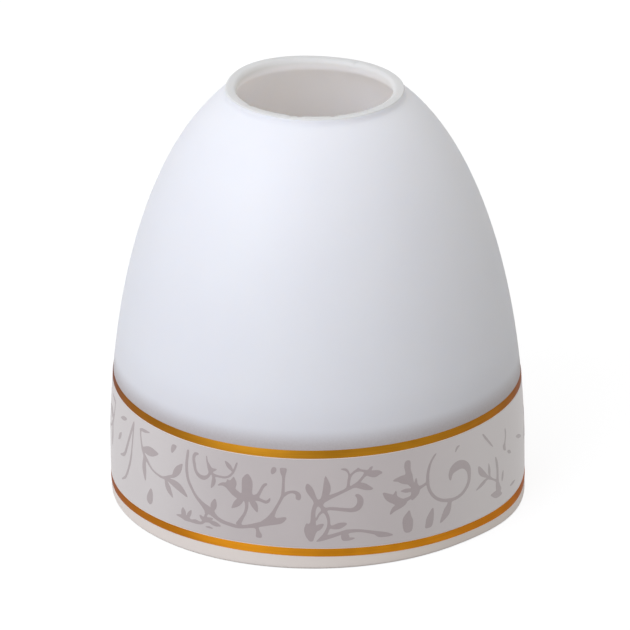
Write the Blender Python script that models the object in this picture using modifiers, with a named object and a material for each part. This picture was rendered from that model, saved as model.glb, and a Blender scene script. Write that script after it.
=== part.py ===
"""Opal glass bell shade for a lamp, in metres, +Z up: a blown white bell, open at its neck and its mouth,
with a fired band of vine print between two gold lines. The foot stands on z = 0 and the axis of the bell
is Z. The band's drawing starts at the front, on -Y, and goes round the bell in equal repeats."""

import math

import bmesh
import bpy
from mathutils import Vector
from mathutils.geometry import delaunay_2d_cdt, interpolate_bezier

# Glass bell
HEIGHT = 0.116
BELLY_RADIUS = 0.0568
SKIRT_HEIGHT = 0.0096  # the straight stretch over the foot
NECK_LIP = 0.0014  # the straight edge under the rim of the neck
BORE_RADIUS = 0.021  # the neck hole, which slips over a lampholder
BORE_DEPTH = 0.0024  # the straight stretch of the neck hole
RIM_WIDTH = 0.003  # the flat rim ground round the neck hole
WALL = 0.0024
DOME_POWER = 2.353  # 2 is an ellipse, and more gives a fuller shoulder
RIM_CHAMFER = 0.0003
FOOT_ROUND = 0.0007

# Fired decoration: thin films that follow the glass
FILM_THICKNESS = 0.0001
FILM_CLEARANCE = 0.00005  # between a film and what it lies on
FILM_SIDE_GAP = 0.0001  # between two films side by side
GOLD_WIDTH = 0.0023
LOWER_GOLD_HEIGHT = 0.0048  # to the middle of the line
UPPER_GOLD_HEIGHT = 0.0332
PRINT_MARGIN_LOW = 0.0022  # from the lower gold line to the cut edge of the print
PRINT_MARGIN_HIGH = 0.003
PRINT_REPEATS = 2

# The drawing of the print: one repeat, in millimetres along the band and up the bell
DRAWING_LENGTH = 178.7
DRAWING_LOW = 8.15
DRAWING_HIGH = 29.05
DRAWING_TOUCH = 0.001  # strokes closer than this touch
DRAWING_MERGE = 0.03  # points closer than this become one
DRAWING_STRAIGHT = 0.15  # an outline that bends by less than this angle is straight
SIDE_SPRIG_MIRROR = 44.5  # a point of the left sprig and its image in the side sprig add up to this

# Facets
FACETS = 48
DOME_STATIONS = 11
BAND_STATIONS = 3
LINE_STATIONS = 1
ROUND_STATIONS = 3
STROKE_STATIONS = 2  # between two points of a stroke

FACET_ANGLE = math.tau / FACETS


def dome_radius(height, top, belly, neck):
    """The radius at a height of a bell that is straight over its skirt, closes in to its neck up to the top
    of the dome and is straight again from there on."""
    closing = math.sqrt(1 - (neck / belly) ** DOME_POWER)
    share = min(1.0, max(0.0, (height - SKIRT_HEIGHT) / (top - SKIRT_HEIGHT)))
    return belly * (1 - (share * closing) ** 2) ** (1 / DOME_POWER)


def outer_radius(height):
    return dome_radius(height, HEIGHT - NECK_LIP, BELLY_RADIUS, BORE_RADIUS + RIM_WIDTH)


def inner_radius(height):
    return dome_radius(height, HEIGHT - BORE_DEPTH, BELLY_RADIUS - WALL, BORE_RADIUS)


def dome_heights(top):
    """Heights from the skirt to the top of the dome, closer together where it bends more, and the rim."""
    for station in range(DOME_STATIONS + 1):
        yield SKIRT_HEIGHT + (top - SKIRT_HEIGHT) * math.sin(0.5 * math.pi * station / DOME_STATIONS)
    yield HEIGHT - RIM_CHAMFER


def spread(first, last, stations):
    return [first + (last - first) * station / stations for station in range(stations + 1)]


def material(name, colour, roughness, metallic=0.0):
    made = bpy.data.materials.new(name)
    made.use_nodes = True
    shader = made.node_tree.nodes["Principled BSDF"]
    shader.inputs["Base Color"].default_value = (*colour, 1.0)
    shader.inputs["Roughness"].default_value = roughness
    shader.inputs["Metallic"].default_value = metallic
    return made


def add_object(name, mesh, finish):
    made = bpy.data.objects.new(name, mesh)
    parts.objects.link(made)
    if not mesh.materials:
        mesh.materials.append(finish)
    return made


def turned(name, profile, finish):
    """A ring from a closed profile of (radius, height) points that runs down its outer side."""
    mesh = bpy.data.meshes.new(name)
    last = len(profile) - 1
    edges = [(point, point + 1) for point in range(last)] + [(last, 0)]
    mesh.from_pydata([(radius, 0.0, height) for radius, height in profile], edges, [])
    ring = add_object(name, mesh, finish)
    screw = ring.modifiers.new("Turn", "SCREW")
    screw.steps = FACETS
    screw.render_steps = FACETS
    screw.use_merge_vertices = True
    screw.merge_threshold = 0.00001
    screw.use_smooth_shade = True
    return ring


def rounded_foot():
    """The fire-polished foot, from the outer wall round to the inner one, with a flat ring to stand on."""
    outer = BELLY_RADIUS - FOOT_ROUND
    inner = BELLY_RADIUS - WALL + FOOT_ROUND
    quarter = spread(0.0, math.pi / 2, ROUND_STATIONS)
    outside = [
        (outer + FOOT_ROUND * math.cos(angle), FOOT_ROUND * (1 - math.sin(angle))) for angle in quarter
    ]
    inside = [
        (inner - FOOT_ROUND * math.sin(angle), FOOT_ROUND * (1 - math.cos(angle))) for angle in quarter
    ]
    return outside + inside


def glass_bell(finish):
    rim = [
        (BORE_RADIUS + RIM_CHAMFER, HEIGHT),
        (BORE_RADIUS + RIM_WIDTH - RIM_CHAMFER, HEIGHT),
    ]
    outside = [(outer_radius(height), height) for height in dome_heights(HEIGHT - NECK_LIP)]
    inside = [(inner_radius(height), height) for height in dome_heights(HEIGHT - BORE_DEPTH)]
    profile = rim + outside[::-1] + rounded_foot() + inside
    return turned("glass_bell", profile, finish)


def film_ring(name, low, high, stations, finish):
    """A film fired on the glass all round, between two heights."""
    under = [(outer_radius(height) + FILM_CLEARANCE, height) for height in spread(low, high, stations)]
    over = [(radius + FILM_THICKNESS, height) for radius, height in reversed(under)]
    return turned(name, over + under, finish)


def smooth(points):
    """Points of (along, up, width) on a smooth curve through the given ones."""
    ends = [points[0], *points, points[-1]]
    for before, start, end, after in zip(ends, ends[1:], ends[2:], ends[3:]):
        leave = start + (end - before) / 6
        arrive = end - (after - start) / 6
        yield from interpolate_bezier(start, leave, arrive, end, STROKE_STATIONS + 1)[:-1]
    yield points[-1]


def stroke(*points):
    """A brush stroke of changing width, as quads. Each point is (along, up, width) in millimetres."""
    spine = list(smooth([Vector(point) for point in points]))
    sides = []
    for index, point in enumerate(spine):
        ahead = spine[min(index + 1, len(spine) - 1)] - spine[max(index - 1, 0)]
        across = ahead.xy.orthogonal().normalized() * point.z / 2
        sides.append((point.xy - across, point.xy + across))
    return [(near[0], far[0], far[1], near[1]) for near, far in zip(sides, sides[1:])]


def leaf(base, tip, width, bend=0.0):
    """A pointed leaf: a stroke that swells and closes again, bent to one side by a share of its length."""
    base = Vector(base)
    tip = Vector(tip)
    aside = (tip - base).orthogonal() * bend
    shape = ((0.0, 0.2), (0.3, 0.9), (0.58, 1.0), (0.85, 0.5), (1.0, 0.06))
    spine = []
    for share, swell in shape:
        middle = base.lerp(tip, share) + aside * math.sin(math.pi * share)
        spine.append((*middle, width * swell))
    return stroke(*spine)


def mirrored(quads, sum_of_sides):
    """The same strokes turned left to right, so that a point and its image add up to sum_of_sides."""
    return [tuple(Vector((sum_of_sides - point.x, point.y)) for point in reversed(quad)) for quad in quads]


def over_glass(along, up, lift):
    """The place of a point of the drawing, lifted off the bell, on the flat facet that it falls on."""
    facet, share = divmod(along / DRAWING_LENGTH * FACETS / PRINT_REPEATS, 1.0)
    height = print_low + (up - DRAWING_LOW) / (DRAWING_HIGH - DRAWING_LOW) * (print_high - print_low)
    radius = outer_radius(height) + lift
    start, end = (
        Vector((math.sin(turn * FACET_ANGLE), -math.cos(turn * FACET_ANGLE), 0.0)) * radius
        for turn in (facet, facet + 1)
    )
    return start.lerp(end, share) + Vector((0.0, 0.0, height))


def cut_flat(shape, point, normal, drop=False):
    bmesh.ops.bisect_plane(
        shape,
        geom=[*shape.verts, *shape.edges, *shape.faces],
        plane_co=point,
        plane_no=normal,
        clear_outer=drop,
    )


def print_film(name, quads):
    """One island of the print as a thin film: its strokes are united flat, cut to the band's edges and to
    the facets of the bell, given their thickness and laid over the ground."""
    corners = [corner for quad in quads for corner in quad]
    faces = [range(first, first + 4) for first in range(0, len(corners), 4)]
    points, _, triangles, _, _, sources = delaunay_2d_cdt(corners, [], faces, 1, DRAWING_TOUCH, True)
    covered = [triangle for triangle, source in zip(triangles, sources) if source]
    mesh = bpy.data.meshes.new(name)
    mesh.from_pydata([(*point, 0.0) for point in points], [], covered)

    shape = bmesh.new()
    shape.from_mesh(mesh)
    bmesh.ops.delete(shape, geom=[vert for vert in shape.verts if not vert.link_faces], context="VERTS")
    bmesh.ops.remove_doubles(shape, verts=shape.verts, dist=DRAWING_MERGE)
    bmesh.ops.dissolve_limit(shape, angle_limit=DRAWING_STRAIGHT, verts=shape.verts, edges=shape.edges)
    cut_flat(shape, (0.0, DRAWING_LOW, 0.0), (0.0, -1.0, 0.0), drop=True)
    cut_flat(shape, (0.0, DRAWING_HIGH, 0.0), (0.0, 1.0, 0.0), drop=True)
    facet_length = DRAWING_LENGTH * PRINT_REPEATS / FACETS
    sides = [vert.co.x / facet_length for vert in shape.verts]
    for facet in range(math.ceil(min(sides)), math.floor(max(sides)) + 1):
        cut_flat(shape, (facet * facet_length, 0.0, 0.0), (1.0, 0.0, 0.0))
    bmesh.ops.remove_doubles(shape, verts=shape.verts, dist=DRAWING_MERGE)
    bmesh.ops.triangulate(shape, faces=shape.faces)
    raised = bmesh.ops.extrude_face_region(shape, geom=shape.faces, use_keep_orig=True)
    for item in raised["geom"]:
        if isinstance(item, bmesh.types.BMVert):
            item.co.z = 1.0
    underside = FILM_CLEARANCE + FILM_THICKNESS + FILM_CLEARANCE
    for vert in shape.verts:
        vert.co = over_glass(vert.co.x, vert.co.y, underside + vert.co.z * FILM_THICKNESS)
    bmesh.ops.recalc_face_normals(shape, faces=shape.faces)
    if shape.calc_volume(signed=True) < 0:
        bmesh.ops.reverse_faces(shape, faces=shape.faces)
    shape.to_mesh(mesh)
    shape.free()
    return mesh


for old in list(bpy.data.objects):
    bpy.data.objects.remove(old)
parts = bpy.data.collections.new("glass_bell_shade")
bpy.context.scene.collection.children.link(parts)

glass_bell(material("opal glass", (0.87, 0.87, 0.9), 0.3))

gold = material("burnished gold", (0.58, 0.29, 0.04), 0.28, 1.0)
half_gold = GOLD_WIDTH / 2
for name, height in (("lower_gold_line", LOWER_GOLD_HEIGHT), ("upper_gold_line", UPPER_GOLD_HEIGHT)):
    film_ring(name, height - half_gold, height + half_gold, LINE_STATIONS, gold)

band_low = LOWER_GOLD_HEIGHT + half_gold + FILM_SIDE_GAP
band_high = UPPER_GOLD_HEIGHT - half_gold - FILM_SIDE_GAP
ground = material("pale grey enamel", (0.56, 0.53, 0.53), 0.5)
film_ring("band_ground", band_low, band_high, BAND_STATIONS, ground)

print_low = LOWER_GOLD_HEIGHT + half_gold + PRINT_MARGIN_LOW
print_high = UPPER_GOLD_HEIGHT - half_gold - PRINT_MARGIN_HIGH

# The islands of the print, from left to right as they stand on the front of the bell
islands = {}
islands["tendril_far_left"] = [
    *stroke(
        (-61.2, 28.6, 1.0), (-63.0, 25.0, 1.1), (-64.6, 21.0, 1.2), (-65.8, 18.4, 1.0),
        (-67.6, 16.7, 1.0), (-70.2, 15.9, 0.4),
    ),
    *stroke(
        (-61.2, 29.6, 0.9), (-61.2, 25.0, 0.8), (-61.8, 20.0, 0.7), (-62.6, 17.0, 0.8),
        (-64.0, 13.8, 0.8), (-66.2, 10.6, 0.8), (-69.2, 8.8, 0.4),
    ),
]
islands["leaf_far_left"] = leaf((-65.6, 28.0), (-70.6, 26.5), 1.3)
islands["leaf_side_left"] = leaf((-69.2, 22.6), (-72.0, 19.4), 1.4)
islands["sprig_left"] = [
    *stroke(
        (-57.3, 28.4, 0.6), (-57.3, 26.6, 0.5), (-56.6, 24.2, 0.6), (-55.9, 22.8, 0.9),
        (-54.9, 21.4, 0.9),
    ),
    *leaf((-58.0, 28.3), (-52.6, 29.0), 1.1),
    *leaf((-56.4, 23.1), (-48.5, 24.3), 2.6),
    *leaf((-55.0, 21.8), (-54.4, 14.1), 1.8, -0.04),
    *stroke(
        (-55.0, 21.8, 0.9), (-53.2, 20.1, 0.8), (-51.4, 18.9, 0.6), (-49.0, 18.2, 0.6),
        (-46.4, 18.2, 0.7), (-43.0, 19.9, 0.8),
    ),
    *leaf((-43.1, 19.3), (-39.4, 24.6), 2.1),
    *leaf((-45.4, 18.3), (-37.3, 15.0), 2.4, 0.09),
    *leaf((-45.9, 18.5), (-42.7, 13.4), 1.8, -0.06),
]
islands["leaf_low_left"] = stroke(
    (-53.2, 8.4, 1.4), (-52.7, 9.4, 2.6), (-52.2, 11.0, 2.3), (-51.9, 12.3, 1.4),
    (-51.9, 13.2, 0.3),
)
islands["leaf_top_left"] = stroke(
    (-43.5, 26.2, 0.5), (-43.2, 27.4, 1.4), (-42.7, 28.6, 1.8), (-42.5, 29.6, 1.6),
)
islands["scroll"] = [
    *stroke(
        (-37.6, 29.6, 0.9), (-38.0, 26.6, 0.9), (-38.2, 24.0, 0.9), (-37.7, 21.2, 0.9),
        (-36.5, 18.6, 0.9), (-34.8, 16.3, 1.0), (-32.6, 14.6, 1.3), (-30.4, 13.4, 2.2),
        (-28.6, 11.9, 1.3), (-26.0, 10.9, 1.1), (-22.5, 10.5, 1.0), (-19.5, 10.9, 1.0),
        (-16.5, 11.9, 1.2), (-13.6, 12.9, 1.7),
    ),
    *leaf((-29.6, 13.2), (-28.7, 17.4), 1.8),
    *stroke((-13.8, 12.9, 1.6), (-11.6, 13.3, 1.7), (-9.9, 14.0, 1.7), (-8.6, 14.9, 0.7)),
    *stroke(
        (-30.9, 13.2, 0.9), (-31.7, 11.6, 0.7), (-32.1, 10.4, 0.9), (-32.6, 9.4, 0.8),
        (-33.4, 8.9, 0.7), (-35.0, 9.0, 1.4), (-36.4, 8.7, 0.7), (-37.4, 8.9, 1.2),
        (-38.6, 8.9, 1.5), (-40.2, 9.1, 0.8), (-41.9, 9.0, 0.4),
    ),
    *leaf((-38.9, 9.0), (-39.3, 12.0), 1.7),
    *leaf((-38.0, 9.0), (-36.3, 12.0), 1.2),
    *leaf((-32.6, 9.7), (-29.3, 11.4), 1.4),
    *leaf((-32.2, 9.9), (-33.7, 11.4), 1.1),
    *leaf((-31.0, 10.2), (-26.9, 9.6), 1.4),
    *stroke(
        (-27.9, 21.3, 0.3), (-26.6, 22.0, 0.9), (-25.0, 21.8, 1.5), (-23.2, 20.4, 2.0),
        (-21.0, 19.3, 1.8), (-18.6, 19.5, 1.8),
    ),
    *leaf((-23.4, 20.8), (-23.2, 24.8), 1.9),
    *leaf((-23.6, 20.8), (-25.1, 23.7), 1.8),
    *stroke(
        (-19.5, 19.0, 2.4), (-19.4, 21.0, 2.9), (-19.3, 23.0, 3.2), (-19.3, 24.4, 3.1),
        (-19.2, 25.4, 1.9), (-19.1, 26.4, 0.4),
    ),
    *stroke(
        (-18.6, 19.6, 1.8), (-16.9, 19.9, 1.3), (-15.9, 21.0, 0.9), (-15.3, 22.4, 0.8),
        (-14.6, 23.6, 0.8), (-13.7, 24.1, 0.7),
    ),
    *stroke(
        (-17.4, 19.5, 1.2), (-15.6, 19.3, 0.9), (-14.2, 18.8, 0.9), (-13.3, 19.2, 0.7),
        (-12.9, 20.2, 0.4),
    ),
    *leaf((-20.0, 19.6), (-23.9, 15.5), 1.8),
    *leaf((-18.8, 19.6), (-16.4, 15.4), 1.8, 0.06),
    *stroke(
        (-19.6, 19.2, 1.2), (-19.4, 17.0, 0.9), (-19.8, 15.0, 0.9), (-20.8, 13.2, 0.9),
        (-22.2, 11.0, 1.2),
    ),
    *stroke(
        (-15.0, 12.4, 1.6), (-13.4, 13.9, 1.3), (-12.0, 16.0, 0.9), (-10.6, 18.6, 0.8),
        (-9.6, 20.8, 0.9), (-9.3, 23.0, 0.8), (-9.2, 27.0, 0.6),
    ),
    *stroke((-9.2, 26.4, 0.6), (-9.3, 27.4, 1.5), (-9.3, 28.4, 1.9), (-9.3, 29.6, 1.8)),
    *stroke(
        (-9.7, 20.8, 0.9), (-8.6, 21.8, 0.9), (-7.2, 22.4, 0.7), (-6.0, 22.3, 0.9),
        (-5.3, 21.6, 1.4), (-5.3, 20.6, 1.5), (-5.4, 20.1, 0.9),
    ),
    *stroke((-16.7, 11.6, 0.9), (-16.4, 10.2, 0.9), (-16.1, 9.2, 1.7), (-16.1, 7.9, 1.8)),
]
islands["dash_low"] = leaf((-31.9, 8.3), (-29.3, 8.4), 0.7)
islands["scroll_tendril"] = [
    *stroke(
        (-34.0, 28.9, 0.8), (-35.1, 28.6, 0.9), (-35.7, 27.6, 0.9), (-35.5, 25.6, 0.9),
        (-34.9, 23.7, 0.9), (-33.8, 22.6, 1.1), (-32.4, 22.4, 1.2), (-31.1, 23.0, 0.8),
        (-30.4, 24.2, 0.8), (-30.2, 25.2, 1.0),
    ),
    *stroke(
        (-31.7, 29.6, 0.5), (-31.5, 27.8, 0.5), (-31.0, 26.6, 0.8), (-30.4, 25.4, 1.5),
        (-29.8, 24.0, 0.8),
    ),
    *leaf((-30.6, 24.9), (-28.2, 25.8), 0.9),
    *stroke(
        (-29.9, 24.2, 0.7), (-28.4, 23.9, 0.6), (-26.4, 23.9, 0.6), (-24.8, 24.4, 0.6),
        (-23.5, 25.7, 0.6), (-22.7, 27.4, 0.6), (-22.0, 29.6, 0.5),
    ),
    *leaf((-23.4, 26.2), (-25.9, 28.8), 1.3),
    *leaf((-29.3, 24.2), (-30.1, 19.9), 1.3, 0.1),
]
islands["leaf_top_scroll"] = leaf((-12.5, 26.9), (-11.3, 29.5), 1.5)
islands["sprig_centre"] = [
    *stroke((-0.5, 19.6, 0.8), (-1.2, 21.0, 1.5), (-2.0, 22.6, 2.0), (-2.6, 23.9, 1.7), (-2.9, 24.9, 0.5)),
    *stroke((1.2, 20.0, 0.8), (1.9, 21.4, 1.5), (2.4, 23.2, 2.0), (2.3, 25.0, 1.6), (1.9, 27.5, 0.2)),
    *stroke(
        (-0.6, 19.3, 1.4), (1.2, 20.2, 1.1), (3.4, 21.2, 0.9), (6.2, 22.3, 0.8),
        (8.4, 23.2, 0.9), (10.6, 24.5, 0.9),
    ),
    *stroke((9.4, 24.0, 0.7), (10.9, 24.0, 1.6), (12.6, 23.4, 1.9), (14.0, 22.8, 1.1), (14.9, 22.6, 0.3)),
    *stroke(
        (8.0, 23.0, 0.7), (8.1, 24.8, 0.7), (8.5, 26.6, 0.7), (9.4, 27.5, 0.6),
        (10.4, 28.2, 0.7), (11.8, 28.1, 0.6), (13.4, 27.6, 0.8),
    ),
    *stroke((10.7, 28.0, 0.6), (11.0, 29.6, 0.5)),
    *stroke((8.5, 26.4, 0.6), (8.3, 27.6, 0.5), (7.8, 28.5, 0.7), (7.0, 28.9, 0.8), (6.0, 28.9, 0.3)),
    *stroke((10.4, 24.4, 0.8), (11.4, 25.3, 0.7), (12.2, 26.3, 0.7), (13.2, 27.4, 0.8)),
    *stroke((12.8, 27.4, 0.8), (14.2, 26.9, 1.7), (15.6, 26.8, 2.0), (16.7, 27.0, 1.2), (17.6, 26.7, 0.4)),
    *stroke((13.6, 27.4, 0.9), (14.3, 28.4, 0.8), (15.0, 29.4, 0.7)),
    *stroke(
        (-0.6, 14.4, 0.5), (0.1, 16.0, 0.6), (1.6, 17.3, 0.8), (3.4, 17.8, 0.9),
        (6.0, 17.4, 0.9), (8.6, 17.0, 1.1), (10.4, 17.4, 1.6), (11.3, 18.8, 1.7),
        (11.2, 20.2, 1.6), (10.5, 21.1, 1.0), (9.8, 21.2, 0.3),
    ),
    *stroke((-0.2, 19.6, 1.5), (-1.0, 18.2, 1.2), (-1.4, 16.4, 1.2), (-1.4, 14.4, 1.3), (-1.6, 12.4, 2.0)),
    *stroke(
        (-1.9, 13.1, 1.8), (-2.1, 12.2, 3.2), (-2.2, 11.0, 3.3), (-2.2, 9.8, 2.5),
        (-2.0, 8.9, 1.6), (-1.9, 7.8, 0.8),
    ),
    *leaf((-2.4, 11.4), (-3.2, 13.5), 1.6),
    *leaf((-1.4, 11.2), (1.5, 13.4), 1.6),
    *stroke(
        (-0.2, 19.8, 1.2), (1.2, 17.9, 0.9), (2.4, 15.8, 0.9), (2.8, 13.8, 0.8),
        (2.5, 11.8, 0.9), (1.6, 10.0, 1.0), (0.2, 8.6, 1.0), (-0.6, 7.8, 0.8),
    ),
    *stroke((2.4, 12.6, 0.5), (3.8, 12.3, 1.1), (5.4, 12.6, 1.8), (6.6, 13.0, 1.3), (7.7, 13.2, 0.4)),
    *stroke(
        (-0.2, 8.3, 0.8), (2.0, 9.3, 1.0), (4.6, 10.1, 1.0), (7.4, 10.9, 1.1),
        (10.4, 11.0, 0.9), (13.4, 10.4, 0.9), (16.0, 9.6, 1.2), (18.2, 8.9, 1.4),
        (20.6, 8.2, 0.4),
    ),
    *leaf((6.6, 11.0), (7.6, 7.4), 2.2),
    *stroke((7.4, 8.6, 1.0), (8.6, 8.7, 0.8), (9.9, 8.8, 0.4)),
    *stroke((15.2, 9.8, 0.9), (16.8, 9.0, 1.9), (18.6, 8.5, 1.2), (20.5, 8.2, 0.4)),
]
islands["blossom_spiral"] = [
    *stroke(
        (25.4, 29.6, 1.2), (24.9, 28.2, 1.8), (24.8, 27.0, 1.8), (25.0, 25.9, 1.6),
        (25.2, 24.6, 2.2), (25.4, 23.2, 2.0), (26.1, 21.6, 1.4),
    ),
    *stroke((25.6, 23.4, 2.4), (24.2, 23.7, 2.7), (22.9, 24.0, 2.2), (21.8, 24.2, 1.2), (20.3, 24.0, 0.5)),
    *leaf((26.4, 20.3), (22.5, 20.7), 1.2),
    *stroke((26.4, 22.0, 1.6), (26.9, 20.8, 2.6), (27.0, 19.6, 2.6), (26.5, 18.5, 1.8), (25.9, 17.3, 0.3)),
    *leaf((27.1, 20.8), (27.3, 23.7), 0.9),
    *stroke((27.4, 20.4, 1.2), (28.8, 20.6, 0.9), (30.8, 21.4, 0.7)),
    *stroke((26.6, 18.9, 1.2), (25.2, 18.2, 0.8), (23.8, 17.8, 1.4)),
    *stroke(
        (24.3, 17.5, 1.2), (22.6, 17.6, 2.0), (20.8, 18.5, 2.4), (19.2, 19.4, 2.0),
        (18.2, 20.3, 1.2), (17.5, 21.2, 0.3),
    ),
    *leaf((20.8, 19.0), (21.3, 21.1), 0.9),
    *stroke((24.2, 17.4, 1.2), (22.8, 16.8, 1.7), (21.2, 16.2, 1.5), (20.2, 15.5, 1.1), (19.4, 14.3, 0.3)),
    *stroke(
        (34.4, 29.6, 0.5), (32.4, 27.5, 0.6), (31.2, 25.0, 0.8), (30.8, 22.2, 0.9),
        (31.2, 19.4, 0.9), (32.6, 17.0, 0.9), (34.8, 15.3, 0.9), (37.6, 14.4, 0.9),
        (40.6, 14.3, 0.9), (43.2, 15.3, 1.0), (44.9, 17.2, 1.1), (45.4, 19.4, 1.3),
        (44.9, 21.6, 1.9), (43.2, 23.2, 2.3), (41.0, 23.5, 2.6), (39.2, 22.8, 2.1),
        (38.4, 21.4, 1.3), (38.4, 19.9, 0.4),
    ),
    *stroke((34.4, 8.3, 0.3), (35.6, 9.6, 1.5), (36.8, 11.2, 2.5), (37.7, 12.8, 1.7), (38.0, 14.4, 1.0)),
]
islands["leaf_low_blossom"] = stroke(
    (24.7, 7.7, 2.5), (24.7, 9.4, 3.0), (24.6, 11.2, 3.2), (24.5, 12.6, 2.6),
    (24.9, 13.8, 1.2), (25.1, 14.8, 0.3),
)
islands["leaf_low_spiral"] = stroke(
    (30.6, 7.7, 1.8), (31.1, 9.4, 2.4), (31.5, 11.0, 2.3), (32.0, 12.6, 1.4),
    (32.5, 14.0, 0.3),
)
islands["tick_top"] = stroke((40.4, 27.4, 0.4), (40.9, 28.3, 0.6), (41.8, 29.0, 0.8), (42.6, 29.4, 0.5))
islands["sprig_right"] = [
    *stroke((53.2, 16.0, 0.6), (52.0, 16.9, 1.3), (50.6, 18.2, 2.0), (49.7, 19.4, 1.6), (49.3, 20.7, 0.4)),
    *stroke((52.6, 16.3, 0.9), (54.2, 15.3, 0.7), (56.0, 14.1, 0.5), (58.1, 13.0, 0.7)),
    *leaf((53.4, 15.8), (47.6, 13.8), 1.2),
    *leaf((54.1, 15.4), (53.8, 20.0), 1.1),
    *stroke(
        (57.1, 20.6, 0.5), (57.8, 18.8, 0.9), (58.2, 16.6, 1.0), (58.1, 14.2, 1.0),
        (57.9, 12.4, 1.6), (58.3, 10.8, 2.4), (59.0, 9.4, 2.2),
    ),
    *leaf((60.2, 8.4), (54.2, 10.2), 2.0),
]
islands["leaf_right"] = leaf((60.4, 11.7), (61.4, 14.9), 1.1)
islands["stroke_top_right"] = stroke(
    (51.4, 29.4, 0.5), (53.2, 27.0, 0.7), (55.0, 25.0, 0.7), (56.8, 23.0, 0.4),
)
islands["bud_far_right"] = [
    *stroke((63.3, 26.4, 0.5), (63.7, 24.4, 0.7), (63.0, 22.4, 0.7), (62.4, 21.2, 0.9)),
    *leaf((61.7, 22.0), (63.3, 19.8), 1.4),
]
islands["leaf_far_right"] = leaf((64.2, 19.2), (66.9, 17.7), 1.1)
islands["blade_far_right"] = stroke((71.2, 20.6, 0.4), (74.0, 19.4, 1.3), (77.6, 18.0, 0.4))
islands["dash_far_right"] = leaf((65.0, 8.5), (69.4, 8.6), 0.8)
islands["sprig_side"] = mirrored(islands["sprig_left"], SIDE_SPRIG_MIRROR)

print_enamel = material("grey violet enamel", (0.36, 0.32, 0.33), 0.5)
for name, quads in islands.items():
    mesh = print_film(f"vine_{name}", quads)
    for repeat in range(PRINT_REPEATS):
        film = add_object(f"vine_{name}_{repeat + 1}", mesh, print_enamel)
        film.rotation_euler.z = math.tau * repeat / PRINT_REPEATS

for piece in parts.objects:
    piece.data.shade_smooth()
    piece.data.set_sharp_from_angle(angle=math.radians(35))
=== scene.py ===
"""Looks of an opal glass bell shade for a lamp: a blown white bell with a grey enamel band and greyer glass just
over it, two burnished gold lines and a fired vine print, on a plain white studio floor. Metres, +Z up, the foot on
z = 0."""

import math

import bmesh
import bpy
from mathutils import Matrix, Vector


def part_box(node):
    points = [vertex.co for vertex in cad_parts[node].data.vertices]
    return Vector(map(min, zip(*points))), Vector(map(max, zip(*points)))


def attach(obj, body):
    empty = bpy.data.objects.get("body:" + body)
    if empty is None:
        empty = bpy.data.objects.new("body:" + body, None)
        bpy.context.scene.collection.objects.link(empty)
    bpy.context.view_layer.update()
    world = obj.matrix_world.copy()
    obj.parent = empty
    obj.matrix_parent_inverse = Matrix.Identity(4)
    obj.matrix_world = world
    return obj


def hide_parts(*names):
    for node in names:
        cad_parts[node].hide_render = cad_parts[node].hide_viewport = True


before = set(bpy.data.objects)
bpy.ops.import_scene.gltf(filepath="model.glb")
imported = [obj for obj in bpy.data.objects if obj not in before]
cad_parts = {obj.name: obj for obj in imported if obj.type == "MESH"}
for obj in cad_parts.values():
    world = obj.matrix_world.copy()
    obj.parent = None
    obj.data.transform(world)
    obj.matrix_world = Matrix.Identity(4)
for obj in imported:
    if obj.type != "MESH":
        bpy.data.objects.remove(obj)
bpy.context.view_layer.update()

# Glass bell: white opal glass, blown in a mould, open at both ends and a little out of round. The neck is cut off and
# ground flat, which leaves a matt rim with small chips along its inner edge, and the foot is melted round in a flame.
# Just over the upper gold line the glass is greyer, and the grey fades out upwards.
MM = 0.001
TOUCH = 0.001 * MM  # points closer than this are one
BELL_TURNS = 320
DOME_STATIONS = 72
DOME_POWER = 2.353  # 2 is an ellipse, and more gives a fuller shoulder
SKIRT_HEIGHT = 9.6 * MM  # the straight stretch over the foot
SKIRT_FROM = 1.2 * MM  # the skirt's rings start over the rounded foot
SKIRT_STATIONS = 12  # and are close enough for the films to lie snugly where the foot is fuller
NECK_LIP = 1.4 * MM  # the straight edge under the rim of the neck
BORE_RADIUS = 21.0 * MM
BORE_DEPTH = 2.7 * MM
RIM_WIDTH = 3.0 * MM
WALL = 2.4 * MM
FOOT_ROUND = 0.7 * MM
RIM_ROUND = 0.35 * MM
RIM_INNER_ROUND = 1.1 * MM
LIP_ROUND = 1.0 * MM
BORE_ROUND = 1.55 * MM
ROUND_STATIONS = 6
SHARP_FROM = math.radians(35)
NECK_SLANT_FROM = 96 * MM  # from here up the neck slants and stands off the axis
NECK_SLANT = 0.0125  # how much the rim falls to the right, for its width
NECK_SHIFT = 0.3 * MM
CHIP_PLACES = (-53, -17, -11, 13, 74, 150)  # degrees from the front, positive to the right
CHIP_WIDTH = 1.3 * MM  # at half its depth
CHIP_DEPTH = 0.35 * MM
# Two places where the bell is fuller: the place and half its width as angles, its depth, and the heights where it
# starts and has that depth.
FULL_FOOT = {"place": math.radians(66), "half": math.radians(26), "depth": 1.3 * MM, "start": 16 * MM, "full": 0.0}
FULL_NECK = {"place": math.radians(-147), "half": math.radians(52), "depth": 1.5 * MM, "start": 106 * MM}
# A line laid on by hand sways a little round the bell. Its height in millimetres: the mean, one swing from side to
# side, and the shares of cos and sin in two swings.
UPPER_LINE_SWAY = (33.27, -1.0, -0.19, 0.56)

bell_high = Vector(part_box("glass_bell")[1])
belly_radius = bell_high.x
bell_height = bell_high.z
neck_radius = BORE_RADIUS + RIM_WIDTH
lip_height = bell_height - NECK_LIP
bore_height = bell_height - BORE_DEPTH


def dome_radius(height, top, belly, neck):
    """The radius of a bell that is straight over its skirt, closes in to its neck and is straight again there."""
    closing = math.sqrt(1 - (neck / belly) ** DOME_POWER)
    share = min(1.0, max(0.0, (height - SKIRT_HEIGHT) / (top - SKIRT_HEIGHT)))
    return belly * (1 - (share * closing) ** 2) ** (1 / DOME_POWER)


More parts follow.
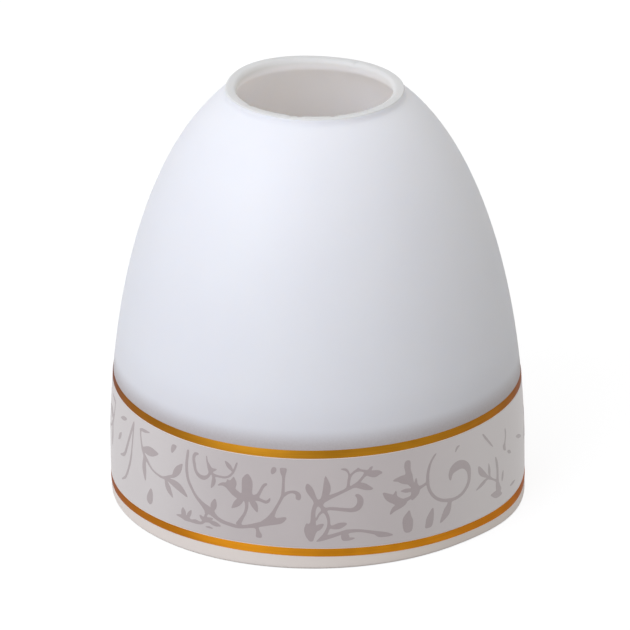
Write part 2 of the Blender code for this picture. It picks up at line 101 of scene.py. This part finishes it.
def outer_radius(height):
    return dome_radius(height, lip_height, belly_radius, neck_radius)


def inner_radius(height):
    return dome_radius(height, bore_height, belly_radius - WALL, BORE_RADIUS)


def spread(first, last, stations):
    return [first + (last - first) * station / stations for station in range(stations + 1)]


def turned(profile):
    """A bmesh spun about Z from a closed profile of (radius, height) points."""
    shape = bmesh.new()
    verts = [shape.verts.new((radius, 0.0, height)) for radius, height in profile]
    edges = [shape.edges.new(pair) for pair in zip(verts, verts[1:] + verts[:1])]
    bmesh.ops.spin(
        shape, geom=verts + edges, cent=(0, 0, 0), axis=(0, 0, 1), angle=math.tau, steps=BELL_TURNS, use_merge=True
    )
    bmesh.ops.remove_doubles(shape, verts=shape.verts, dist=TOUCH)
    bmesh.ops.recalc_face_normals(shape, faces=shape.faces)
    return shape


def round_ring(shape, radius, height, size):
    """Rounds the sharp ring that a turned shape has at a radius and a height."""
    ring = {
        vert
        for vert in shape.verts
        if abs(vert.co.xy.length - radius) < TOUCH and abs(vert.co.z - height) < TOUCH
    }
    edges = [edge for edge in shape.edges if ring.issuperset(edge.verts)]
    bmesh.ops.bevel(
        shape, geom=edges, offset=size, segments=ROUND_STATIONS, profile=0.5, affect="EDGES", material=-1
    )


def front_angle(point):
    """The angle of a point round the bell, from the front and positive to the right."""
    return math.atan2(point.x, -point.y)


def swayed(angle, mean, side, twice_cos, twice_sin):
    return (mean + side * math.sin(angle) + twice_cos * math.cos(2 * angle) + twice_sin * math.sin(2 * angle)) * MM


def fill_out(shape, place, half, depth, start, full):
    """Moves a shape out round one place of the bell, from nothing at one height to the whole depth at another."""
    for vert in shape.verts:
        away = abs(math.remainder(front_angle(vert.co) - place, math.tau)) / half
        along = (vert.co.z - start) / (full - start)
        if away < 1 and along > 0:
            move = depth * (math.cos(away * math.pi / 2) * along) ** 2
            vert.co.xy += vert.co.xy.normalized() * move


def finished(name, shape):
    mesh = bpy.data.meshes.new(name)
    shape.to_mesh(mesh)
    shape.free()
    mesh.shade_smooth()
    mesh.set_sharp_from_angle(angle=SHARP_FROM)
    piece = bpy.data.objects.new(name, mesh)
    bpy.context.scene.collection.objects.link(piece)
    return piece


skirt = spread(SKIRT_FROM, SKIRT_HEIGHT, SKIRT_STATIONS)[:-1]
outside = skirt + spread(SKIRT_HEIGHT, lip_height, DOME_STATIONS)
inside = skirt + spread(SKIRT_HEIGHT, bore_height, DOME_STATIONS)
rim = [(BORE_RADIUS, bell_height), (neck_radius, bell_height)]
foot = [(belly_radius, 0.0), (belly_radius - WALL, 0.0)]
outer_wall = [(outer_radius(height), height) for height in reversed(outside)]
inner_wall = [(inner_radius(height), height) for height in inside]
shape = turned(rim + outer_wall + foot + inner_wall)
for radius, height in foot:
    round_ring(shape, radius, height, FOOT_ROUND)
round_ring(shape, neck_radius, bell_height, RIM_ROUND)
round_ring(shape, BORE_RADIUS, bell_height, RIM_INNER_ROUND)
round_ring(shape, neck_radius, lip_height, LIP_ROUND)
round_ring(shape, BORE_RADIUS, bore_height, BORE_ROUND)

# Two values for the material: the height over the upper gold line, and how much of the ground rim a point has.
over_line = shape.verts.layers.float.new("over_line")
ground_rim = shape.verts.layers.float.new("ground_rim")
for vert in shape.verts:
    vert[over_line] = vert.co.z - swayed(front_angle(vert.co), *UPPER_LINE_SWAY)
    if vert.co.z > bore_height and vert.co.xy.length < neck_radius - TOUCH:
        vert[ground_rim] = min(1.0, (vert.co.z - bore_height) / (BORE_DEPTH - RIM_INNER_ROUND))
    if vert.co.z > NECK_SLANT_FROM:
        share = (vert.co.z - NECK_SLANT_FROM) / (bell_height - NECK_SLANT_FROM)
        on_rim = vert.co.z > bell_height - RIM_INNER_ROUND and vert.co.xy.length < neck_radius - 2 * RIM_ROUND
        for chip in CHIP_PLACES if on_rim else ():
            away = abs(front_angle(vert.co) - math.radians(chip)) * BORE_RADIUS
            vert.co.z -= CHIP_DEPTH * max(0.0, 1 - away / CHIP_WIDTH)
        vert.co.z -= NECK_SLANT * (neck_radius + vert.co.x) * share
        vert.co.x += NECK_SHIFT * share
fill_out(shape, **FULL_FOOT)
fill_out(shape, **FULL_NECK, full=bell_height)
glass = finished("opal_bell", shape)

# Blown opal glass, etched to a satin skin: milky white with soft clouds, a slight ripple from the mould and a broad,
# dull shine. Light scatters under its bare skin, the ground rim is greyer and the foot is warmer. Just over the upper
# gold line it is greyer still, fading out upwards. The grit of the etch is far finer than a pixel, so it is drawn
# coarser, and it also speckles that grey.
OPAL_WHITE = "#EEEEF0"
OPAL_MILK = "#EAEAEE"
OPAL_FOOT = "#ECE1D8"
OPAL_RIM = "#D8D7D5"
OPAL_IOR = 1.5
OPAL_SHINY, OPAL_DULL = 0.5, 0.6
CLOUD_SIZE = 25 * MM
RIPPLE_SIZE = 6 * MM
RIPPLE_DEPTH = 0.05 * MM
ETCH_GRIT = 0.5 * MM
NOISE_LOW, NOISE_HIGH = 0.3, 0.7  # most of a noise lies between these
SCATTER_DEPTH = 1.5 * MM
SCATTER_SHARES = (1.0, 0.95, 0.9)  # of that depth, for red, green and blue
# the grey just over the upper gold line, which fades out upwards, and its speckle
FADE_GREY = "#BBB3B2"
FADE_FULL = 1.0 * MM  # heights over the upper gold line: the grey is full up to here,
FADE_MOSTLY_GONE = 7.0 * MM  # most of it is gone here
FADE_END = 17.0 * MM  # and all of it here
FADE_TAIL = 0.16  # the share that fades last
FADE_SPECK_LOW, FADE_SPECK_HIGH = 0.96, 1.04
MIX_FIRST, MIX_SECOND, MIX_RESULT = 6, 7, 2  # the colour sockets of a Mix node, which share their names with others


def linear(hex_colour):
    """A linear RGBA colour from an sRGB hex value."""
    channels = (int(hex_colour[start:start + 2], 16) / 255 for start in (1, 3, 5))
    return (*(c / 12.92 if c <= 0.04045 else ((c + 0.055) / 1.055) ** 2.4 for c in channels), 1.0)


def new_material(name):
    material = bpy.data.materials.new(name)
    material.use_nodes = True
    return material, material.node_tree.nodes["Principled BSDF"]


def set_inputs(material, node, inputs):
    """Sets the inputs of a node. Each is a value, or a socket of another node to link."""
    for name, value in inputs.items():
        if isinstance(value, bpy.types.NodeSocket):
            material.node_tree.links.new(value, node.inputs[name])
        else:
            node.inputs[name].default_value = value


def add_node(material, kind, inputs, output=0, **settings):
    """Adds a node with its settings and inputs, and gives the socket of one of its outputs."""
    node = material.node_tree.nodes.new(kind)
    for name, value in settings.items():
        setattr(node, name, value)
    set_inputs(material, node, inputs)
    return node.outputs[output]


opal, opal_shader = new_material("blown opal glass")
place = add_node(opal, "ShaderNodeTexCoord", {}, "Object")
over = add_node(opal, "ShaderNodeAttribute", {}, "Fac", attribute_name="over_line")
rimmed = add_node(opal, "ShaderNodeAttribute", {}, "Fac", attribute_name="ground_rim")
clouds = add_node(opal, "ShaderNodeTexNoise", {"Vector": place, "Scale": 1 / CLOUD_SIZE})
ripple = add_node(opal, "ShaderNodeTexNoise", {"Vector": place, "Scale": 1 / RIPPLE_SIZE})
grain = add_node(opal, "ShaderNodeTexNoise", {"Vector": place, "Scale": 1 / ETCH_GRIT})
milky = add_node(
    opal,
    "ShaderNodeMix",
    {"Factor": clouds, MIX_FIRST: linear(OPAL_WHITE), MIX_SECOND: linear(OPAL_MILK)},
    MIX_RESULT,
    data_type="RGBA",
)
near = add_node(
    opal,
    "ShaderNodeMapRange",
    {"Value": over, "From Min": FADE_MOSTLY_GONE, "From Max": FADE_FULL, "To Min": 0.0, "To Max": 1.0 - FADE_TAIL},
    interpolation_type="SMOOTHSTEP",
)
far = add_node(
    opal,
    "ShaderNodeMapRange",
    {"Value": over, "From Min": FADE_END, "From Max": FADE_FULL, "To Min": 0.0, "To Max": FADE_TAIL},
    interpolation_type="SMOOTHSTEP",
)
grey_fade = add_node(opal, "ShaderNodeMath", {0: near, 1: far}, operation="ADD")
specks = add_node(
    opal,
    "ShaderNodeMapRange",
    {"Value": grain, "From Min": NOISE_LOW, "From Max": NOISE_HIGH, "To Min": FADE_SPECK_LOW, "To Max": FADE_SPECK_HIGH},
    interpolation_type="SMOOTHSTEP",
)
speckled = add_node(opal, "ShaderNodeMath", {0: grey_fade, 1: specks}, operation="MULTIPLY", use_clamp=True)
greyed = add_node(
    opal,
    "ShaderNodeMix",
    {"Factor": speckled, MIX_FIRST: milky, MIX_SECOND: linear(FADE_GREY)},
    MIX_RESULT,
    data_type="RGBA",
)
above = add_node(opal, "ShaderNodeMath", {0: over, 1: 0.0}, operation="GREATER_THAN")
footed = add_node(
    opal,
    "ShaderNodeMix",
    {"Factor": above, MIX_FIRST: linear(OPAL_FOOT), MIX_SECOND: greyed},
    MIX_RESULT,
    data_type="RGBA",
)
opal_colour = add_node(
    opal,
    "ShaderNodeMix",
    {"Factor": rimmed, MIX_FIRST: footed, MIX_SECOND: linear(OPAL_RIM)},
    MIX_RESULT,
    data_type="RGBA",
)
opal_roughness = add_node(
    opal,
    "ShaderNodeMapRange",
    {"Value": grain, "From Min": NOISE_LOW, "From Max": NOISE_HIGH, "To Min": OPAL_SHINY, "To Max": OPAL_DULL},
    interpolation_type="SMOOTHSTEP",
)
bare = add_node(
    opal,
    "ShaderNodeMapRange",
    {"Value": over, "From Min": 0.0, "From Max": FADE_MOSTLY_GONE, "To Min": 0.0, "To Max": 1.0},
    interpolation_type="SMOOTHSTEP",
)
opal_inputs = {
    "Base Color": opal_colour,
    "Roughness": opal_roughness,
    "Normal": add_node(opal, "ShaderNodeBump", {"Height": ripple, "Distance": RIPPLE_DEPTH}),
    "IOR": OPAL_IOR,
    "Subsurface Weight": bare,
    "Subsurface Radius": SCATTER_SHARES,
    "Subsurface Scale": SCATTER_DEPTH,
}
set_inputs(opal, opal_shader, opal_inputs)
glass.data.materials.append(opal)
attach(glass, "root")
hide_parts("glass_bell")

# Gold lines: bright gold painted on with a brush while the bell turns, then fired and burnished. Each is a thin
# rounded film that follows the glass and sways with the hand that held the brush.
FILM_LIFT = 0.01 * MM  # between a film and what it lies on
GOLD_FILM = 0.1 * MM
GOLD_STATIONS = 8
LOWER_LINE_SWAY = (4.52, 0.12, 0.42, -0.65)


def lay_on_glass(shape, new_height):
    """Moves each point of a film to a new height, which its angle and its height give, and keeps its lift."""
    for vert in shape.verts:
        lift = vert.co.xy.length - outer_radius(vert.co.z)
        vert.co.z = new_height(front_angle(vert.co), vert.co.z)
        vert.co.xy = vert.co.xy.normalized() * (outer_radius(vert.co.z) + lift)


# Burnished gold: a warm metal, duller than polished gold. Fine streaks run round the bell as the brush did and draw
# its highlight out, and it is browner where it is seen at a slant. A painted shade darkens it at the bell's left and
# right sides. The streaks of the hairs are too fine to show, so they are drawn coarser.
GOLD_UPPER = "#BC8220"
GOLD_LOWER = "#D38B1E"
GOLD_SIDE_SHADE = "#F4EAFF"  # a painted shade for the bell's left and right sides
GOLD_SLANT = "#B0ADD0"
GOLD_WORN = 0.9
GOLD_SHINY, GOLD_DULL = 0.46, 0.52
WEAR_SIZE = 5 * MM
HAIR_WIDTH = 0.25 * MM
HAIR_DRAWN = 0.02  # a streak's width as a share of its length
HAIR_LOW, HAIR_HIGH = 0.35, 0.65
BURNISHED = 0.9  # how far the streaks draw the highlight out
BURNISHED_TURN = 0.25  # of a full turn
# the painted light and shade of the bell's left and right sides start and are full at these
SIDE_LOW, SIDE_HIGH = 0.05, 0.65  # where the sides start and are full, as shares of the belly's radius squared


def painted_side_share(material, place):
    """A share that grows from 0 at the front and the back of the bell to 1 at its left and its right, where light and
    shade are painted.
    """
    across = add_node(material, "ShaderNodeSeparateXYZ", {"Vector": place}, "X")
    squared = add_node(material, "ShaderNodeMath", {0: across, 1: across}, operation="MULTIPLY")
    low, high = SIDE_LOW * belly_radius ** 2, SIDE_HIGH * belly_radius ** 2
    inputs = {"Value": squared, "From Min": low, "From Max": high, "To Min": 0.0, "To Max": 1.0}
    return add_node(material, "ShaderNodeMapRange", inputs, interpolation_type="SMOOTHSTEP")


gold, gold_shader = new_material("burnished gold")
place = add_node(gold, "ShaderNodeTexCoord", {}, "Object")
drawn = add_node(gold, "ShaderNodeMapping", {"Vector": place, "Scale": (HAIR_DRAWN, HAIR_DRAWN, 1.0)})
hairs = add_node(gold, "ShaderNodeTexNoise", {"Vector": drawn, "Scale": 1 / HAIR_WIDTH})
wear = add_node(gold, "ShaderNodeTexNoise", {"Vector": place, "Scale": 1 / WEAR_SIZE})
level = add_node(gold, "ShaderNodeSeparateXYZ", {"Vector": place}, "Z")
upper = add_node(gold, "ShaderNodeMath", {0: level, 1: SKIRT_HEIGHT}, operation="GREATER_THAN")
laid = add_node(
    gold,
    "ShaderNodeMix",
    {"Factor": upper, MIX_FIRST: linear(GOLD_LOWER), MIX_SECOND: linear(GOLD_UPPER)},
    MIX_RESULT,
    data_type="RGBA",
)
# painted shade: the gold is darkened at the bell's left and right sides
side_shaded = add_node(
    gold,
    "ShaderNodeMix",
    {"Factor": painted_side_share(gold, place), MIX_FIRST: laid, MIX_SECOND: linear(GOLD_SIDE_SHADE)},
    MIX_RESULT,
    data_type="RGBA",
    blend_type="MULTIPLY",
)
streaks = add_node(
    gold,
    "ShaderNodeMapRange",
    {"Value": hairs, "From Min": HAIR_LOW, "From Max": HAIR_HIGH, "To Min": GOLD_WORN, "To Max": 1.0},
    interpolation_type="SMOOTHSTEP",
)
gold_roughness = add_node(
    gold,
    "ShaderNodeMapRange",
    {"Value": wear, "From Min": NOISE_LOW, "From Max": NOISE_HIGH, "To Min": GOLD_SHINY, "To Max": GOLD_DULL},
    interpolation_type="SMOOTHSTEP",
)
gold_inputs = {
    "Base Color": add_node(gold, "ShaderNodeVectorMath", {0: side_shaded, "Scale": streaks}, operation="SCALE"),
    "Roughness": gold_roughness,
    "Tangent": add_node(gold, "ShaderNodeTangent", {}, direction_type="RADIAL", axis="Z"),
    "Anisotropic": BURNISHED,
    "Anisotropic Rotation": BURNISHED_TURN,
    "Metallic": 1.0,
    "Specular Tint": linear(GOLD_SLANT),
}
set_inputs(gold, gold_shader, gold_inputs)

for line_name, line_sway in (("lower_gold_line", LOWER_LINE_SWAY), ("upper_gold_line", UPPER_LINE_SWAY)):
    line_low, line_high = (corner[2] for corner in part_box(line_name))
    line_middle = (line_low + line_high) / 2
    heights = spread(line_high, line_low, GOLD_STATIONS)
    crown = [GOLD_FILM * math.sin(math.pi * (step + 0.5) / (GOLD_STATIONS + 1)) for step in range(GOLD_STATIONS + 1)]
    outer_side = [(outer_radius(height) + FILM_LIFT + lift, height) for height, lift in zip(heights, crown)]
    glass_side = [(outer_radius(height) + FILM_LIFT, height) for height in reversed(heights)]
    shape = turned(outer_side + glass_side)
    lay_on_glass(shape, lambda angle, height: height - line_middle + swayed(angle, *line_sway))
    fill_out(shape, **FULL_FOOT)
    line = finished(line_name + "_fired", shape)
    line.data.materials.append(gold)
    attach(line, "root")
    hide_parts(line_name)

# Band ground: a pale grey enamel film, screened on between the gold lines and fired to a satin skin. It stops just
# short of the gold, so a hair of glass shows beside each line.
BAND_STATIONS = 24
BAND_FILM = 0.05 * MM
BAND_EDGE_GAP = 0.2 * MM

band_low, band_high = (corner[2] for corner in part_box("band_ground"))
band_edge = (line_high - line_low) / 2 + BAND_EDGE_GAP  # from the middle of a gold line
heights = spread(band_high, band_low, BAND_STATIONS)
outer_side = [(outer_radius(height) + FILM_LIFT + BAND_FILM, height) for height in heights]
glass_side = [(outer_radius(height) + FILM_LIFT, height) for height in reversed(heights)]


def band_height(angle, height):
    """The height on the band, between the swaying gold lines, of a point of the level film."""
    share = (height - band_low) / (band_high - band_low)
    low = swayed(angle, *LOWER_LINE_SWAY) + band_edge
    high = swayed(angle, *UPPER_LINE_SWAY) - band_edge
    return low + share * (high - low)


shape = turned(outer_side + glass_side)
lay_on_glass(shape, band_height)
fill_out(shape, **FULL_FOOT)
band = finished("band_enamel", shape)

# Fired pearl enamel: a lustre pigment gives it the high IOR, so it is soft grey from the front and pale at a slant.
# It has faint clouds, and a painted sheen makes it paler at the bell's left and right sides. Its grit is drawn
# coarser than it is, so that it shows.
BAND_GREY = "#B8ACAA"
BAND_CLOUD = "#B0A5A3"
# the next colour is a painted sheen for the bell's left and right sides
BAND_SIDE_SHEEN = "#CBC2BF"
BAND_IOR = 2.5
BAND_SHINY, BAND_DULL = 0.33, 0.38
BAND_CLOUD_SIZE = 9 * MM
BAND_GRIT = 0.6 * MM

pearl, pearl_shader = new_material("fired pearl enamel")
place = add_node(pearl, "ShaderNodeTexCoord", {}, "Object")
clouds = add_node(pearl, "ShaderNodeTexNoise", {"Vector": place, "Scale": 1 / BAND_CLOUD_SIZE})
grain = add_node(pearl, "ShaderNodeTexNoise", {"Vector": place, "Scale": 1 / BAND_GRIT})
clouded = add_node(
    pearl,
    "ShaderNodeMix",
    {"Factor": clouds, MIX_FIRST: linear(BAND_GREY), MIX_SECOND: linear(BAND_CLOUD)},
    MIX_RESULT,
    data_type="RGBA",
)
# painted sheen: the enamel is made paler at the bell's left and right sides
pearl_colour = add_node(
    pearl,
    "ShaderNodeMix",
    {"Factor": painted_side_share(pearl, place), MIX_FIRST: clouded, MIX_SECOND: linear(BAND_SIDE_SHEEN)},
    MIX_RESULT,
    data_type="RGBA",
)
pearl_roughness = add_node(
    pearl,
    "ShaderNodeMapRange",
    {"Value": grain, "From Min": NOISE_LOW, "From Max": NOISE_HIGH, "To Min": BAND_SHINY, "To Max": BAND_DULL},
    interpolation_type="SMOOTHSTEP",
)
set_inputs(pearl, pearl_shader, {"Base Color": pearl_colour, "Roughness": pearl_roughness, "IOR": BAND_IOR})
band.data.materials.append(pearl)
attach(band, "root")
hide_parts("band_ground")

# Vine print: sprigs, leaves, scrolls and blossoms in a darker grey-violet enamel, printed from a transfer that is
# trimmed at both edges and fired on the ground. Each island is the film of its own CAD node, eased round the bell
# and thinned, and it sways a little as the transfer was laid on.
PRINT_SWAY = (0.38, -0.68, -0.33, 0.0)
PRINT_FILM = 0.03 * MM
PRINT_STEP = 0.6 * MM  # longer edges are cut
PRINT_CUTS = 2
PRINT_PASSES = 2  # of easing the outline
FOLD_CHECKS = 3
OUTWARD = 0.5  # the cosine of the most that a face may lean

# Fired violet enamel: a satin film, patchy as a print is, with some of the pearl's lustre, and a painted sheen makes
# it paler at the bell's left and right sides. Its grit is drawn coarser than it is, so that it shows.
PRINT_GREY = "#8E7D7D"
PRINT_PATCH = "#968585"
# the next colour is a painted sheen for the bell's left and right sides
PRINT_SIDE_SHEEN = "#A49594"
PRINT_IOR = 2.4
PRINT_SHINY, PRINT_DULL = 0.36, 0.42
PRINT_PATCH_SIZE = 2.5 * MM
PRINT_GRIT = 0.5 * MM

violet, violet_shader = new_material("fired violet enamel")
place = add_node(violet, "ShaderNodeTexCoord", {}, "Object")
patches = add_node(violet, "ShaderNodeTexNoise", {"Vector": place, "Scale": 1 / PRINT_PATCH_SIZE})
grain = add_node(violet, "ShaderNodeTexNoise", {"Vector": place, "Scale": 1 / PRINT_GRIT})
patched = add_node(
    violet,
    "ShaderNodeMix",
    {"Factor": patches, MIX_FIRST: linear(PRINT_GREY), MIX_SECOND: linear(PRINT_PATCH)},
    MIX_RESULT,
    data_type="RGBA",
)
# painted sheen: the print is made paler at the bell's left and right sides
violet_colour = add_node(
    violet,
    "ShaderNodeMix",
    {"Factor": painted_side_share(violet, place), MIX_FIRST: patched, MIX_SECOND: linear(PRINT_SIDE_SHEEN)},
    MIX_RESULT,
    data_type="RGBA",
)
violet_roughness = add_node(
    violet,
    "ShaderNodeMapRange",
    {"Value": grain, "From Min": NOISE_LOW, "From Max": NOISE_HIGH, "To Min": PRINT_SHINY, "To Max": PRINT_DULL},
    interpolation_type="SMOOTHSTEP",
)
set_inputs(violet, violet_shader, {"Base Color": violet_colour, "Roughness": violet_roughness, "IOR": PRINT_IOR})


def looks_outward(face):
    return face.normal.xy.dot(face.calc_center_median().xy.normalized()) > OUTWARD


def ease_outline(shape):
    """Moves each point of a film's outline half way to its neighbours, unless that folds the film."""
    outline = [edge for edge in shape.edges if edge.is_boundary]
    for _ in range(PRINT_PASSES):
        before = {vert: vert.co.copy() for vert in shape.verts}
        neighbours = {}
        for edge in outline:
            for vert in edge.verts:
                neighbours.setdefault(vert, []).append(before[edge.other_vert(vert)])
        for vert, near in neighbours.items():
            if len(near) == 2:
                vert.co = vert.co / 2 + (near[0] + near[1]) / 4
        for _ in range(FOLD_CHECKS):
            shape.normal_update()
            for face in shape.faces:
                if not looks_outward(face):
                    for vert in face.verts:
                        vert.co = before[vert]


print_lift = FILM_LIFT + BAND_FILM + TOUCH + PRINT_FILM
for node_name, node in sorted(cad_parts.items()):
    if not node_name.startswith("vine_"):
        continue
    shape = bmesh.new()
    shape.from_mesh(node.data)
    bmesh.ops.remove_doubles(shape, verts=shape.verts, dist=TOUCH)
    bmesh.ops.delete(shape, geom=[face for face in shape.faces if not looks_outward(face)], context="FACES")
    long_edges = [edge for edge in shape.edges if edge.calc_length() > PRINT_STEP]
    bmesh.ops.subdivide_edges(shape, edges=long_edges, cuts=PRINT_CUTS, use_grid_fill=True)
    bmesh.ops.triangulate(shape, faces=shape.faces)
    ease_outline(shape)
    for vert in shape.verts:
        vert.co.xy = vert.co.xy.normalized() * (outer_radius(vert.co.z) + print_lift)
    lay_on_glass(shape, lambda angle, height: height + swayed(angle, *PRINT_SWAY))
    fill_out(shape, **FULL_FOOT)
    bmesh.ops.solidify(shape, geom=shape.faces, thickness=PRINT_FILM)
    if shape.calc_volume(signed=True) < 0:
        bmesh.ops.reverse_faces(shape, faces=shape.faces)
    island = finished(node_name + "_fired", shape)
    island.data.materials.append(violet)
    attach(island, "root")
    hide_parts(node_name)

# Studio: a plain white floor that keeps a faint shadow, soft light all round and one large cool lamp at the upper
# left. A weak warm lamp in the bell stands in for the light that its opal wall lets through. The camera looks down
# on the bell from the front.
FLOOR_SIZE = 20.0
FLOOR_GLOW = 0.82
WORLD_LIGHT = 0.725
BELL_MIDDLE = Vector((0.0, 0.0, 0.058))
KEY_TURN = math.radians(-44)
KEY_RISE = math.radians(35)
KEY_DISTANCE = 1.8
KEY_WIDTH = 1.5
KEY_TALL = 1.0
KEY_WATTS = 17.9
KEY_TINT = (0.83, 0.88, 1.0)
INNER_WATTS = 0.0145
INNER_SIZE = 12 * MM
INNER_HEIGHT = 86 * MM
INNER_TINT = (1.0, 0.92, 0.82)
CAMERA_RISE = math.radians(22.83)
CAMERA_DISTANCE = 1.52
CAMERA_AIM = Vector((-0.0003, 0.0, 0.04943))
CAMERA_ROLL = math.radians(-0.646)
CAMERA_LENS = 319.8
CAMERA_SENSOR = 36.0

shape = bmesh.new()
bmesh.ops.create_grid(shape, x_segments=1, y_segments=1, size=FLOOR_SIZE / 2)
floor = finished("studio_floor", shape)

# White paper: matt, and grey in itself, so that it takes a soft shadow and sends little light up the bell. What the
# camera, a gloss or a glass sees of it also glows, up to plain white.
PAPER_GREY = "#828282"
PAPER_ROUGH = 0.9

paper, paper_shader = new_material("white paper")
set_inputs(paper, paper_shader, {"Base Color": linear(PAPER_GREY), "Roughness": PAPER_ROUGH})
rays = add_node(paper, "ShaderNodeLightPath", {}).node.outputs
looks = add_node(paper, "ShaderNodeMath", {0: rays["Is Camera Ray"], 1: rays["Is Glossy Ray"]}, operation="ADD")
seen_inputs = {0: looks, 1: rays["Is Transmission Ray"]}
seen = add_node(paper, "ShaderNodeMath", seen_inputs, operation="ADD", use_clamp=True)
strength = add_node(paper, "ShaderNodeMath", {0: seen, 1: FLOOR_GLOW}, operation="MULTIPLY")
glow = add_node(paper, "ShaderNodeEmission", {"Strength": strength})
glowing = add_node(paper, "ShaderNodeAddShader", {0: paper_shader.outputs[0], 1: glow})
set_inputs(paper, paper.node_tree.nodes["Material Output"], {"Surface": glowing})
floor.data.materials.append(paper)

world = bpy.data.worlds.new("studio")
bpy.context.scene.world = world
world.use_nodes = True
world.node_tree.nodes["Background"].inputs["Color"].default_value = (1.0, 1.0, 1.0, 1.0)
world.node_tree.nodes["Background"].inputs["Strength"].default_value = WORLD_LIGHT


def toward(turn, rise):
    """The direction from the bell to something round it, by its turn from the front and its rise."""
    return Vector((math.sin(turn) * math.cos(rise), -math.cos(turn) * math.cos(rise), math.sin(rise)))


key = bpy.data.objects.new("key_light", bpy.data.lights.new("key_light", "AREA"))
key.data.energy = KEY_WATTS
key.data.shape = "RECTANGLE"
key.data.size = KEY_WIDTH
key.data.size_y = KEY_TALL
key.data.color = KEY_TINT
key.location = BELL_MIDDLE + toward(KEY_TURN, KEY_RISE) * KEY_DISTANCE
key.rotation_euler = (BELL_MIDDLE - key.location).to_track_quat("-Z", "Y").to_euler()
bpy.context.scene.collection.objects.link(key)

inner = bpy.data.objects.new("inner_light", bpy.data.lights.new("inner_light", "POINT"))
inner.data.energy = INNER_WATTS
inner.data.shadow_soft_size = INNER_SIZE
inner.data.color = INNER_TINT
inner.location = (0, 0, INNER_HEIGHT)
inner.visible_camera = False
inner.visible_glossy = False
bpy.context.scene.collection.objects.link(inner)

camera = bpy.data.objects.new("camera", bpy.data.cameras.new("camera"))
camera.data.lens = CAMERA_LENS
camera.data.sensor_width = CAMERA_SENSOR
camera.location = BELL_MIDDLE + toward(0.0, CAMERA_RISE) * CAMERA_DISTANCE
camera.rotation_euler = (CAMERA_AIM - camera.location).to_track_quat("-Z", "Y").to_euler()
camera.rotation_euler.rotate_axis("Z", CAMERA_ROLL)
bpy.context.scene.collection.objects.link(camera)
bpy.context.scene.camera = camera
bpy.context.scene.view_settings.view_transform = "Standard"
